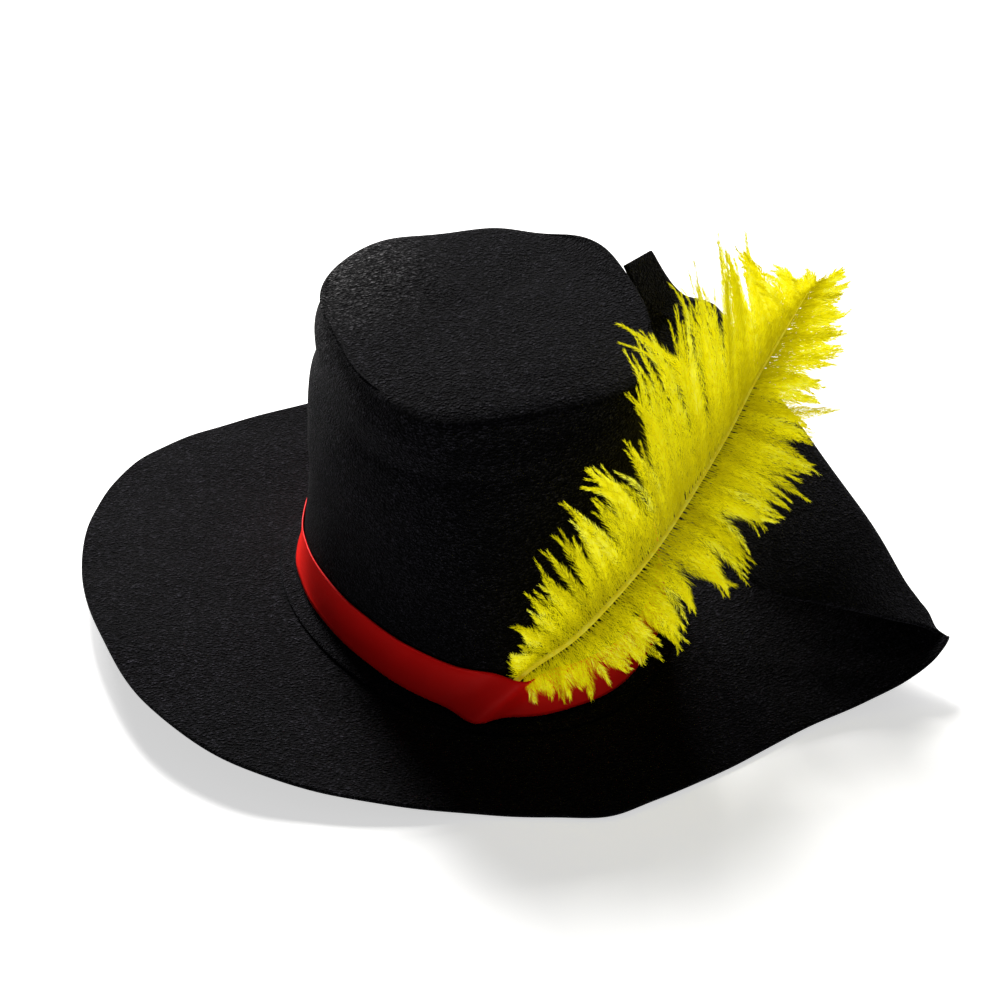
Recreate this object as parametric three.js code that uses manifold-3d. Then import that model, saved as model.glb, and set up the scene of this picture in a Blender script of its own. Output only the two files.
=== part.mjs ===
// Felt cavalier hat: tall crown, wide brim turned up and folded over on the wearer's left,
// ribbon band and ostrich plume. Millimetres, +Z up, front of the hat towards -Y,
// wearer's left towards +X. The hat stands on the flat front and back of its brim.

import * as THREE from "three";
import Module from "manifold-3d";

const wasm = await Module();
wasm.setup();

// Driving dimensions
const FELT = 2;
const GAP = 0.35;
const SIDE_RISE = 11;
const SEAT_WIDTH = 14;
const FLANGE = { width: 6, edge: 1.7, inset: 2.5 };
const CROWN_HEIGHT = 156;
const RIDGE = { height: 1, halfWidth: 70, from: 132, to: 150 };
const TOP_TILT = { sideways: 0.02, lengthwise: 0.07, from: 40, to: 126 };
const TOP_LEAN = { sideways: 5, from: 100, to: 148 };
const FOOT_CURVE = { from: 90, to: 20 };
const FOLD_RADIUS = 9;
const RIBBON = { width: 22, thickness: 0.9, lift: 5.5, gap: 0.7 };
const QUILL_BUMP = { height: 7.3, halfWidth: 8.5, lowX: -40, highX: -18.6, lowZ: 5 };
const SHAFT = { radius: 1.4, tipShare: 0.45, sides: 6 };
const LOCKS = { perSide: 12, first: 0.22, last: 0.94, sides: 4 };
const LOCK_LIFT = { left: { foot: 11, tip: 31 }, right: { foot: 8, tip: 10 }, from: 0.2, to: 0.55 };
const LOCK_SWEEP = { left: { start: 0.3, end: 0.15 }, right: { start: 0.25, end: 0.05 } };
const TIP = { behind: 8, ahead: 20, halfWidth: 11, halfDepth: 1.8, endShare: 0.25 };

// How finely the faces are divided
const CROWN_SECTORS = 56;
const BAND_SECTORS = 70;
const BAND_LEVELS = [0, 0.45, 1];
const SECTION_STEPS = 2;
const RUN_STEPS = 8;
const BEND_STEPS = 4;
const FLAP_STEPS = 5;
const TAB_STEPS = 2;
const SHAFT_STEPS = 22;

const FELT_COLOR = 0x17181d;
const RIBBON_COLOR = 0xc4121a;
const PLUME_COLOR = 0xe8dc10;

// Crown: the outline at each height, as half width to each side, reach to front and back,
// and fullness, which is 2 for an oval and more where the corners fill out
const CROWN_ROWS = [
  { height: 2.2, side: 91, front: 116.5, back: 107.5, fullness: 2 },
  { height: 5, side: 88.2, front: 113.5, back: 104.8, fullness: 2 },
  { height: 14, side: 86, front: 111, back: 102.5, fullness: 2 },
  { height: 28, side: 84, front: 108.5, back: 100.5, fullness: 2 },
  { height: 62, side: 81.5, front: 102, back: 93, fullness: 2.05 },
  { height: 96, side: 80, front: 94, back: 85, fullness: 2.15 },
  { height: 120, side: 79.5, front: 88, back: 82, fullness: 2.3 },
  { height: 126, side: 78, front: 86, back: 79.5, fullness: 2.35 },
  { height: 132, side: 77.5, front: 84.8, back: 78, fullness: 2.5 },
  { height: 142, side: 77, front: 80, back: 78, fullness: 2.9 },
  { height: 151.5, side: 77, front: 70, back: 76, fullness: 3.2 },
  { height: 155, side: 73.5, front: 58, back: 72, fullness: 3.2 },
  { height: 155.8, side: 59, front: 44, back: 58, fullness: 2.9 },
];

// Rim of the plain brim: distance from the crown's axis and height, by angle from the
// wearer's left, counted towards the back
const RIM_ROWS = [
  { angle: 76, reach: 196, rise: 4 },
  { angle: 88, reach: 198, rise: 0 },
  { angle: 100, reach: 198.5, rise: 0 },
  { angle: 114, reach: 204, rise: 3 },
  { angle: 130, reach: 209.5, rise: 8 },
  { angle: 147, reach: 203.5, rise: 14 },
  { angle: 165, reach: 196, rise: 18.5 },
  { angle: 181, reach: 191.5, rise: 20 },
  { angle: 197, reach: 192, rise: 18.4 },
  { angle: 213, reach: 189.5, rise: 14 },
  { angle: 227, reach: 182, rise: 9 },
  { angle: 240, reach: 176, rise: 4.5 },
  { angle: 251, reach: 173.5, rise: 1 },
  { angle: 261, reach: 177.5, rise: 0 },
  { angle: 269, reach: 184, rise: 0 },
  { angle: 276, reach: 182.5, rise: 0 },
  { angle: 290, reach: 182.5, rise: 0 },
  { angle: 304, reach: 191, rise: 1 },
  { angle: 312, reach: 207.5, rise: 4 },
  { angle: 316.3, reach: 222, rise: 10 },
];

// Turned-up side: for each section its angle at the crown's foot, the fold that it rises to,
// and the cut edge that it comes back to
const FOLD_ROWS = [
  { angle: -40, fold: [170, -142, 14], edge: [178, -151, 18] },
  { angle: -36, fold: [181, -138, 20], edge: [188, -142, 21] },
  { angle: -30, fold: [186, -128, 28], edge: [179, -139, 28] },
  { angle: -24, fold: [181, -112, 38], edge: [155, -136, 38] },
  { angle: -17, fold: [175, -90, 51], edge: [126, -131, 49] },
  { angle: -11, fold: [169, -66, 64], edge: [97, -116, 57] },
  { angle: -6, fold: [162, -43, 77], edge: [92, -92, 72] },
  { angle: 0, fold: [155, -17, 92], edge: [92, -54, 92] },
  { angle: 8, fold: [148, 6, 106], edge: [93, -14, 114] },
  { angle: 14, fold: [145, 21, 114], edge: [94, 16, 129] },
  { angle: 18, fold: [144, 28, 116], root: [98, 19, 129], edge: [87, 27, 154] },
  { angle: 22, fold: [143, 34, 117], root: [116, 31, 128], edge: [107, 43, 150] },
  { angle: 26, fold: [142, 41, 115], edge: [118, 36, 127] },
  { angle: 32, fold: [142, 58, 101], edge: [121, 56, 111] },
  { angle: 40, fold: [143, 82, 76], edge: [124, 84, 85] },
  { angle: 51, fold: [143, 110, 46], edge: [130, 113, 52] },
  { angle: 63, fold: [128, 140, 20], edge: [128, 146, 22] },
];

// Head opening in the brim
const OPENING = { side: 84.5, front: 109.5, back: 101, fullness: 2 };

// Plume: the shaft's path, and how far the vane reaches to each side of it
const SHAFT_ROWS = [
  { x: -39.5, y: -106.8, z: 6.8, left: 0, right: 0 },
  { x: -27, y: -107.3, z: 18, left: 0, right: 0 },
  { x: -15, y: -109.8, z: 31.5, left: 12, right: 12 },
  { x: 6, y: -117, z: 51, left: 42, right: 28 },
  { x: 28, y: -113, z: 67, left: 54, right: 37 },
  { x: 50, y: -104, z: 81, left: 66, right: 40 },
  { x: 70, y: -90, z: 91, left: 76, right: 44 },
  { x: 90, y: -73, z: 99, left: 78, right: 46 },
  { x: 109, y: -56, z: 107, left: 66, right: 44 },
  { x: 128, y: -38, z: 116, left: 56, right: 32 },
  { x: 145, y: -26, z: 128, left: 46, right: 24 },
  { x: 157, y: -23, z: 145, left: 30, right: 16 },
  { x: 163, y: -26, z: 160, left: 14, right: 9 },
];

// One lock of barbs, from the shaft to its end: half width and half depth
const LOCK_ROWS = [
  { part: 0, width: 10, depth: 1.2 },
  { part: 0.25, width: 12.3, depth: 2.2 },
  { part: 0.5, width: 12, depth: 2.8 },
  { part: 0.75, width: 9, depth: 2.8 },
  { part: 1, width: 2.8, depth: 2.4 },
];

// The way that the vane faces at its foot and at its tip
const VANE_FACING_FOOT = new THREE.Vector3(0.05, -0.9, 0.4).normalize();
const VANE_FACING_TIP = new THREE.Vector3(0.3, -0.72, 0.63).normalize();
const VANE_TURN = { from: 0.3, to: 0.6 };

const radians = THREE.MathUtils.degToRad;
const smooth = THREE.MathUtils.smoothstep;

// Share of a change that is done at a place within its span
function share(at, { from, to }) {
  return from < to ? smooth(at, from, to) : 1 - smooth(at, to, from);
}

// Point of an egg-shaped oval whose front half is longer than its back half
function oval(size, angle) {
  const power = 2 / size.fullness;
  const sideways = Math.cos(angle);
  const lengthwise = Math.sin(angle);
  const reach = lengthwise < 0 ? size.front : size.back;
  return new THREE.Vector2(
    size.side * Math.sign(sideways) * Math.abs(sideways) ** power,
    reach * Math.sign(lengthwise) * Math.abs(lengthwise) ** power,
  );
}

function widened(size, by) {
  const { side, front, back, fullness } = size;
  return { side: side + by, front: front + by, back: back + by, fullness };
}

// The brim curves up at the sides of the head, and lies flat at front and back
function footRise(angle) {
  const sideways = Math.abs(Math.cos(angle));
  return SIDE_RISE * smooth(sideways, 0.32, 1) * sideways;
}

// Faces between two rings of points, given by the number of each ring's first point
function bridge(index, from, to, count) {
  for (let j = 0; j < count; j += 1) {
    const k = (j + 1) % count;
    index.push(from + j, from + k, to + k);
    index.push(from + j, to + k, to + j);
  }
}

// Mesh from a list of rings that share one number of points
function meshFromRings(rings, { closedLoop }) {
  const perRing = rings[0].length;
  const positions = rings.flat().flatMap((p) => [p.x, p.y, p.z]);
  const index = [];
  const last = closedLoop ? rings.length : rings.length - 1;
  for (let i = 0; i < last; i += 1) {
    bridge(index, i * perRing, ((i + 1) % rings.length) * perRing, perRing);
  }
  return { positions, index };
}

function toGeometry({ positions, index }) {
  const geometry = new THREE.BufferGeometry();
  geometry.setAttribute("position", new THREE.Float32BufferAttribute(positions, 3));
  geometry.setIndex(index);
  geometry.computeVertexNormals();
  return geometry;
}

function finishedMesh(name, geometry, color, roughness) {
  const material = new THREE.MeshStandardMaterial({ color, roughness, metalness: 0 });
  const mesh = new THREE.Mesh(geometry, material);
  mesh.name = name;
  return mesh;
}

// Crown
function crownPoint(row, angle, inward) {
  const outline = oval(widened(row, -inward), angle);
  const curve = footRise(angle) * share(row.height, FOOT_CURVE);
  const middle = Math.max(0, 1 - Math.abs(outline.x) / RIDGE.halfWidth);
  const ridge = RIDGE.height * middle * share(row.height, RIDGE);
  const slope = TOP_TILT.sideways * outline.x + TOP_TILT.lengthwise * outline.y;
  const tilt = slope * share(row.height, TOP_TILT);
  const x = outline.x + TOP_LEAN.sideways * share(row.height, TOP_LEAN);
  const z = row.height + FELT + GAP + curve + ridge + tilt;
  return new THREE.Vector3(x, outline.y, z);
}

function crownGeometry() {
  const angles = Array.from({ length: CROWN_SECTORS }, (_, i) => (2 * Math.PI * i) / CROWN_SECTORS);
  const ringAt = (row, inward) => angles.map((angle) => crownPoint(row, angle, inward));
  const [foot, ...wall] = CROWN_ROWS;
  const flange = widened(foot, FLANGE.width);
  const outer = [{ ...flange, height: 0 }, { ...flange, height: FLANGE.edge }, ...CROWN_ROWS];
  const inner = wall.map((row) => ({ ...row, height: row.height - FELT })).reverse();
  const rings = [
    ...outer.map((row) => ringAt(row, 0)),
    ...inner.map((row) => ringAt(row, FELT)),
    ringAt({ ...foot, height: 0 }, FELT + FLANGE.inset),
  ];
  const { positions, index } = meshFromRings(rings.slice(0, outer.length), { closedLoop: false });
  const highest = (outer.length - 1) * CROWN_SECTORS;
  const under = outer.length * CROWN_SECTORS;
  rings.slice(outer.length).flat().forEach((p) => positions.push(p.x, p.y, p.z));
  for (let i = outer.length; i < rings.length; i += 1) {
    bridge(index, i * CROWN_SECTORS, ((i + 1) % rings.length) * CROWN_SECTORS, CROWN_SECTORS);
  }
  const top = CROWN_HEIGHT + RIDGE.height + FELT + GAP;
  const outerPole = positions.push(TOP_LEAN.sideways, 0, top) / 3 - 1;
  const innerPole = positions.push(TOP_LEAN.sideways, 0, top - FELT) / 3 - 1;
  for (let j = 0; j < CROWN_SECTORS; j += 1) {
    const k = (j + 1) % CROWN_SECTORS;
    index.push(highest + j, highest + k, outerPole);
    index.push(innerPole, under + k, under + j);
  }
  return toGeometry({ positions, index });
}

// Brim
function rimSection({ angle, reach, rise }) {
  const turn = radians(angle);
  const edge = new THREE.Vector3(reach * Math.cos(turn), reach * Math.sin(turn), rise);
  const foot = oval(OPENING, turn);
  const fold = new THREE.Vector3(foot.x, foot.y, footRise(turn)).lerp(edge, 0.85);
  return { angle, fold, edge };
}

function brimSections() {
  const folded = FOLD_ROWS.map(({ angle, fold, root, edge }) => ({
    angle,
    fold: new THREE.Vector3(...fold),
    root: root ? new THREE.Vector3(...root) : null,
    edge: new THREE.Vector3(...edge),
  }));
  const sections = [...folded, ...RIM_ROWS.map(rimSection)];
  const folds = new THREE.CatmullRomCurve3(sections.map((s) => s.fold), true, "centripetal");
  const edges = new THREE.CatmullRomCurve3(sections.map((s) => s.edge), true, "centripetal");
  const spans = sections.length;
  const result = [];
  sections.forEach((section, i) => {
    const following = sections[(i + 1) % spans];
    const next = i + 1 < spans ? following.angle : following.angle + 360;
    const besideTab = section.root || following.root;
    const steps = besideTab ? 1 : SECTION_STEPS;
    for (let k = 0; k < steps; k += 1) {
      const part = k / steps;
      const place = (i + part) / spans;
      result.push({
        angle: radians(THREE.MathUtils.lerp(section.angle, next, part)),
        fold: folds.getPoint(place),
        root: section.root,
        edge: edges.getPoint(place),
      });
    }
  });
  return result;
}

// One section of the brim's middle surface, from the head opening to the cut edge
function brimSection({ angle, fold, root, edge }) {
  const lift = FELT / 2;
  const inner = oval(OPENING, angle);
  const seat = oval(widened(OPENING, SEAT_WIDTH), angle);
  const z = footRise(angle) + lift;
  const start = new THREE.Vector3(inner.x, inner.y, z);
  const leave = new THREE.Vector3(seat.x, seat.y, z);
  const outward = leave.clone().sub(start).normalize();
  const top = fold.clone().setZ(fold.z + lift);
  const tip = edge.clone().setZ(edge.z + lift);
  const turned = root ? root.clone().setZ(root.z + lift) : tip;
  const back = turned.distanceTo(top);
  const round = Math.min(FOLD_RADIUS, back * 0.45);
  const span = top.distanceTo(leave);
  const steep = smooth(top.z - leave.z, 10, 60);
  const hug = leave.clone().addScaledVector(outward, span * (0.34 + 0.12 * steep));
  const rise = top.clone().lerp(leave, 0.3).add(outward.clone().multiplyScalar(span * 0.14 * steep));
  const run = new THREE.CubicBezierCurve3(leave, hug, rise, top);
  const runLength = run.getLength();
  const cutRun = 1 - round / runLength;
  const beforeBend = run.getPointAt(cutRun);
  const afterBend = top.clone().lerp(turned, round / back);
  const bend = new THREE.QuadraticBezierCurve3(beforeBend, top, afterBend);
  const points = [start];
  for (let k = 0; k <= RUN_STEPS; k += 1) {
    points.push(run.getPointAt((cutRun * k) / RUN_STEPS));
  }
  for (let k = 1; k <= BEND_STEPS; k += 1) {
    points.push(bend.getPoint(k / BEND_STEPS));
  }
  const flap = root ? FLAP_STEPS - TAB_STEPS : FLAP_STEPS;
  for (let k = 1; k <= flap; k += 1) {
    points.push(afterBend.clone().lerp(turned, k / flap));
  }
  for (let k = 1; root && k <= TAB_STEPS; k += 1) {
    points.push(turned.clone().lerp(tip, k / TAB_STEPS));
  }
  return points;
}

function brimGeometry() {
  const grid = brimSections().map(brimSection);
  const count = grid.length;
  const size = grid[0].length;
  const normalAt = (i, j) => {
    const ahead = grid[(i + 1) % count][j];
    const behind = grid[(i + count - 1) % count][j];
    const outer = grid[i][Math.min(j + 1, size - 1)];
    const inner = grid[i][Math.max(j - 1, 0)];
    const along = ahead.clone().sub(behind);
    const across = outer.clone().sub(inner);
    return across.cross(along).normalize();
  };
  const loops = grid.map((section, i) => {
    const offset = section.map((point, j) => normalAt(i, j).multiplyScalar(FELT / 2));
    const above = section.map((point, j) => point.clone().add(offset[j]));
    const below = section.map((point, j) => {
      const low = point.clone().sub(offset[j]);
      return low.z < 0.02 ? low.setZ(0) : low;
    });
    return [...above, ...below.reverse()];
  });
  return toGeometry(meshFromRings(loops, { closedLoop: true }));
}

// Ribbon band
function crownWall(height, angle) {
  let row = 0;
  while (row + 2 < CROWN_ROWS.length && CROWN_ROWS[row + 1].height < height) row += 1;
  const a = CROWN_ROWS[row];
  const b = CROWN_ROWS[row + 1];
  const part = (height - a.height) / (b.height - a.height);
  const mix = (name) => THREE.MathUtils.lerp(a[name], b[name], part);
  const size = { side: mix("side"), front: mix("front"), back: mix("back"), fullness: 2, height };
  return crownPoint(size, angle, 0);
}

// The ribbon stands off where the quill passes behind it, along a slanting line
function quillBump(point) {
  const share = (point.z - QUILL_BUMP.lowZ) / RIBBON.width;
  const ridge = THREE.MathUtils.lerp(QUILL_BUMP.lowX, QUILL_BUMP.highX, share);
  const distance = (point.x - ridge) / QUILL_BUMP.halfWidth;
  return point.y < 0 ? QUILL_BUMP.height * Math.exp(-(distance ** 2)) : 0;
}

function bandGeometry() {
  const loops = Array.from({ length: BAND_SECTORS }, (_, i) => {
    const angle = (2 * Math.PI * i) / BAND_SECTORS;
    const outward = new THREE.Vector3(Math.cos(angle), Math.sin(angle), 0);
    const pointAt = (level, away) => {
      const wall = crownWall(RIBBON.lift + RIBBON.width * level, angle);
      return wall.clone().addScaledVector(outward, away + quillBump(wall));
    };
    const inside = BAND_LEVELS.map((level) => pointAt(level, RIBBON.gap));
    const outside = BAND_LEVELS.map((level) => pointAt(level, RIBBON.gap + RIBBON.thickness));
    return [...inside, ...outside.reverse()];
  });
  return toGeometry(meshFromRings(loops, { closedLoop: true }));
}

// Plume
// Closed body along a path, from rings that may change in size, closed with flat ends
function lofted(rings) {
  const body = meshFromRings(rings, { closedLoop: false });
  const perRing = rings[0].length;
  const last = (rings.length - 1) * perRing;
  for (let j = 1; j + 1 < perRing; j += 1) {
    body.index.push(0, j + 1, j);
    body.index.push(last, last + j, last + j + 1);
  }
  return body;
}

function toSolid({ positions, index }) {
  const vertProperties = new Float32Array(positions);
  const triVerts = new Uint32Array(index);
  return new wasm.Manifold(new wasm.Mesh({ numProp: 3, vertProperties, triVerts }));
}

function ringAround(centre, wide, deep, sides) {
  return Array.from({ length: sides }, (_, j) => {
    const turn = (2 * Math.PI * j) / sides;
    return centre
      .clone()
      .addScaledVector(wide, Math.cos(turn))
      .addScaledVector(deep, Math.sin(turn));
  });
}

function shaftPath() {
  const points = SHAFT_ROWS.map(({ x, y, z }) => new THREE.Vector3(x, y, z));
  return new THREE.CatmullRomCurve3(points, false, "centripetal");
}

function shaftReach(place, side) {
  const at = place * (SHAFT_ROWS.length - 1);
  const row = Math.min(Math.floor(at), SHAFT_ROWS.length - 2);
  return THREE.MathUtils.lerp(SHAFT_ROWS[row][side], SHAFT_ROWS[row + 1][side], at - row);
}

function vaneFrame(path, place) {
  const along = path.getTangent(place);
  const facing = VANE_FACING_FOOT.clone().lerp(VANE_FACING_TIP, share(place, VANE_TURN));
  const across = new THREE.Vector3().crossVectors(along, facing).normalize();
  facing.crossVectors(across, along).normalize();
  return { along, across, facing };
}

function shaftSolid(path) {
  const rings = [];
  for (let i = 0; i <= SHAFT_STEPS; i += 1) {
    const place = i / SHAFT_STEPS;
    const { across, facing } = vaneFrame(path, place);
    const radius = SHAFT.radius * THREE.MathUtils.lerp(1, SHAFT.tipShare, place);
    const wide = facing.multiplyScalar(radius);
    const deep = across.multiplyScalar(radius);
    rings.push(ringAround(path.getPoint(place), wide, deep, SHAFT.sides));
  }
  return toSolid(lofted(rings));
}

// One lock of barbs: it leaves the shaft at a slant and curls towards the plume's tip
function lockSolid(path, place, side) {
  const { along, across, facing } = vaneFrame(path, place);
  const hand = side === "right" ? 1 : -1;
  const reach = shaftReach(place, side);
  const sweep = LOCK_SWEEP[side];
  const { foot, tip } = LOCK_LIFT[side];
  const lift = THREE.MathUtils.lerp(foot, tip, share(place, LOCK_LIFT));
  const rings = LOCK_ROWS.map(({ part, width, depth }) => {
    const forward = reach * part * THREE.MathUtils.lerp(sweep.start, sweep.end, part);
    const centre = path
      .getPoint(place)
      .addScaledVector(across, hand * reach * part)
      .addScaledVector(along, forward)
      .addScaledVector(facing, lift * part);
    const wide = along.clone().multiplyScalar(hand * width);
    const deep = facing.clone().multiplyScalar(depth);
    return ringAround(centre, wide, deep, LOCKS.sides);
  });
  return toSolid(lofted(rings));
}

function tipSolid(path) {
  const { along, across, facing } = vaneFrame(path, 1);
  const rings = [0, 0.5, 1].map((part) => {
    const forward = THREE.MathUtils.lerp(-TIP.behind, TIP.ahead, part);
    const share = THREE.MathUtils.lerp(1, TIP.endShare, part);
    const centre = path.getPoint(1).addScaledVector(along, forward);
    const wide = facing.clone().multiplyScalar(TIP.halfDepth * share);
    const deep = across.clone().multiplyScalar(TIP.halfWidth * share);
    return ringAround(centre, wide, deep, LOCKS.sides);
  });
  return toSolid(lofted(rings));
}

function plumeGeometry() {
  const path = shaftPath();
  const solids = [shaftSolid(path), tipSolid(path)];
  for (let i = 0; i < LOCKS.perSide; i += 1) {
    const place = THREE.MathUtils.lerp(LOCKS.first, LOCKS.last, i / (LOCKS.perSide - 1));
    solids.push(lockSolid(path, place, "left"), lockSolid(path, place, "right"));
  }
  const fused = solids.reduce((sum, solid) => sum.add(solid));
  const [whole] = fused.decompose().sort((a, b) => b.volume() - a.volume());
  const mesh = whole.getMesh();
  return toGeometry({
    positions: Array.from(mesh.vertProperties),
    index: Array.from(mesh.triVerts),
  });
}

const hat = new THREE.Group();
hat.add(finishedMesh("crown", crownGeometry(), FELT_COLOR, 0.95));
hat.add(finishedMesh("brim", brimGeometry(), FELT_COLOR, 0.95));
hat.add(finishedMesh("hat_band", bandGeometry(), RIBBON_COLOR, 0.35));
hat.add(finishedMesh("plume", plumeGeometry(), PLUME_COLOR, 0.7));

// The origin is the middle of the hat's extent, on the surface that it stands on
const extent = new THREE.Box3().setFromObject(hat);
const middle = extent.getCenter(new THREE.Vector3());
hat.position.set(-middle.x, -middle.y, -extent.min.z);

export default hat;
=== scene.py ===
"""A felt cavalier hat: tall crown, wide brim turned up at one side, ribbon band and ostrich plume.

The frame is in metres with +Z up, the front of the hat towards -Y and the wearer's left towards
+X. The tables hold millimetres round the crown's axis, as a hatter would give them, and each
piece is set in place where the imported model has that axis.
"""

from __future__ import annotations

import logging
import math
from dataclasses import dataclass
from enum import Enum
from typing import NamedTuple

import bpy
import numpy as np
from mathutils import Matrix, Vector


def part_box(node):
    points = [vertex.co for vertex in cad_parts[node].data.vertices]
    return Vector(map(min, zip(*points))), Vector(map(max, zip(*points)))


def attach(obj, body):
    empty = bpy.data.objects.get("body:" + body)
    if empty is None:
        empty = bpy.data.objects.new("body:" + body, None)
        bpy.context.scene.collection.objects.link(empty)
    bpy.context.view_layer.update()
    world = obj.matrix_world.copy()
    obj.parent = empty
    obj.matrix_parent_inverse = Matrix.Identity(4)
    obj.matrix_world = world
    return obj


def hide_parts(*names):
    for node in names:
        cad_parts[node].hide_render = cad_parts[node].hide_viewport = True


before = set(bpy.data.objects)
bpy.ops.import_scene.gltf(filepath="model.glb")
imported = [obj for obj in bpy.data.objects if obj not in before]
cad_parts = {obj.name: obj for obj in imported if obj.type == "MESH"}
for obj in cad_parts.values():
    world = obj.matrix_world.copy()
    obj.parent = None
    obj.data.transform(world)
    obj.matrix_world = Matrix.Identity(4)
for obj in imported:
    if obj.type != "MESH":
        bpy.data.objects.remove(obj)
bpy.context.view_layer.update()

LOG = logging.getLogger("hat")
MM = 0.001
BODY = "root"

# Sizes that more than one piece shares, in millimetres
FELT = 2.0
GAP = 0.35
SIDE_RISE = 11.0
# Share of the way from fold to cut edge at which the flap ends where it has no tab
FLAP_SHARE = 0.62


class Slot(Enum):
    """The record's material slots."""

    FELT = "black_felt"
    RIBBON = "red_satin"
    PLUME = "yellow_plume"


class Side(Enum):
    """The two sides of the plume, seen from its face with the tip up."""

    LEFT = -1
    RIGHT = 1


class Oval(NamedTuple):
    """An egg-shaped outline: half width, reach to front and back, and how far it fills out."""

    side: float
    front: float
    back: float
    fullness: float


class CrownRow(NamedTuple):
    """The crown's outline at one height."""

    height: float
    side: float
    front: float
    back: float
    fullness: float


class RimRow(NamedTuple):
    """The plain brim's edge at one angle from the wearer's left, counted towards the back."""

    angle: float
    reach: float
    rise: float


class FoldRow(NamedTuple):
    """One section of the turned-up side: its fold, its cut edge, and the root of the tab."""

    angle: float
    fold: tuple[float, float, float]
    edge: tuple[float, float, float]
    root: tuple[float, float, float] | None = None


class Sweep(NamedTuple):
    """How one side's barbs lean towards the tip, at their root and their end, and rise."""

    place: float
    root: float
    end: float
    lift: float


class ShaftRow(NamedTuple):
    """A point of the plume's shaft, and how far the vane reaches to each side of it."""

    x: float
    y: float
    z: float
    left: float
    right: float


class Swell(NamedTuple):
    """A soft rise of the crown's top, or a dip, along a line from front to back."""

    x: float
    width: float
    lift: float


def smooth(value: np.ndarray | float, low: float, high: float) -> np.ndarray:
    """Ease from 0 at low to 1 at high.

    Args:
        value: Numbers to ease.
        low: Where the ease starts.
        high: Where it ends.

    Returns:
        Numbers from 0 to 1.
    """
    part = np.clip((np.asarray(value, dtype=float) - low) / (high - low), 0.0, 1.0)
    return part * part * (3.0 - 2.0 * part)


def mix(a: np.ndarray, b: np.ndarray, part: np.ndarray | float) -> np.ndarray:
    """Straight mix of a and b."""
    return a + (b - a) * part


def unit(vectors: np.ndarray) -> np.ndarray:
    """Vectors of length one along the last axis."""
    length = np.linalg.norm(vectors, axis=-1, keepdims=True)
    return vectors / np.maximum(length, 1e-12)


def spline(points: np.ndarray, places: np.ndarray, closed: bool = False) -> np.ndarray:
    """Centripetal Catmull-Rom curve through points.

    Args:
        points: One row for each point.
        places: Where to read the curve, counted in points from 0.
        closed: Whether the curve returns to its first point.

    Returns:
        One row for each place.
    """
    count = len(points)
    if closed:
        first = np.floor(places).astype(int) % count
        part = places - np.floor(places)
        a, b, c, d = (points[(first + k) % count] for k in (-1, 0, 1, 2))
    else:
        padded = np.vstack([2 * points[0] - points[1], points, 2 * points[-1] - points[-2]])
        first = np.clip(np.floor(places).astype(int), 0, count - 2)
        part = places - first
        a, b, c, d = (padded[first + k] for k in range(4))
    before, during, after = (
        np.maximum(np.sqrt(np.linalg.norm(q - p, axis=1, keepdims=True)), 1e-3)
        for p, q in ((a, b), (b, c), (c, d))
    )
    leave = ((b - a) / before - (c - a) / (before + during) + (c - b) / during) * during
    arrive = ((c - b) / during - (d - b) / (during + after) + (d - c) / after) * during
    t = part[:, None]
    bend = 2 * b - 2 * c + leave + arrive
    ease = -3 * b + 3 * c - 2 * leave - arrive
    return ((bend * t + ease) * t + leave) * t + b


def outline(size: Oval, angle: np.ndarray, grow: np.ndarray | float = 0.0) -> np.ndarray:
    """Points of an egg-shaped oval.

    Args:
        size: The oval.
        angle: Angles from the wearer's left, in radians.
        grow: How far the outline is pushed out, in millimetres.

    Returns:
        X and Y for each angle.
    """
    sideways, lengthwise = np.cos(angle), np.sin(angle)
    power = 2.0 / np.asarray(size.fullness)
    reach = np.where(lengthwise < 0, np.asarray(size.front), np.asarray(size.back)) + grow
    x = (np.asarray(size.side) + grow) * np.sign(sideways) * np.abs(sideways) ** power
    y = reach * np.sign(lengthwise) * np.abs(lengthwise) ** power
    return np.stack(np.broadcast_arrays(x, y), axis=-1)


def foot_rise(angle: np.ndarray) -> np.ndarray:
    """Height of the brim at the head: it curves up at the sides and lies flat front and back."""
    sideways = np.abs(np.cos(angle))
    return SIDE_RISE * smooth(sideways, 0.32, 1.0) * sideways


class Wander:
    """Soft seeded unevenness: a sum of waves in scattered directions."""

    def __init__(self, seed: int, length: float, waves: int = 14) -> None:
        """Choose the waves.

        Args:
            seed: Seed of the random draws.
            length: Typical length of a wave, in the unit of the points.
            waves: How many waves are summed.
        """
        draw = np.random.default_rng(seed)
        self.ways = unit(draw.normal(size=(waves, 3))) * (2 * math.pi / length)
        self.ways *= draw.uniform(0.6, 1.5, size=(waves, 1))
        self.phases = draw.uniform(0, 2 * math.pi, size=waves)

    def at(self, points: np.ndarray) -> np.ndarray:
        """The unevenness at each point, mostly between -1 and 1."""
        total = sum(np.sin(points @ way + phase) for way, phase in zip(self.ways, self.phases))
        return total / math.sqrt(len(self.phases))


def grid_normals(grid: np.ndarray, wrap: bool) -> np.ndarray:
    """Normals of a grid of points whose rows run along and whose columns run across.

    Args:
        grid: Rows by columns by 3.
        wrap: Whether the last row joins the first.

    Returns:
        Unit normals of the same shape.
    """
    if wrap:
        along = np.roll(grid, -1, axis=0) - np.roll(grid, 1, axis=0)
    else:
        along = np.gradient(grid, axis=0)
    across = np.gradient(grid, axis=1)
    return unit(np.cross(across, along))


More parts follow.
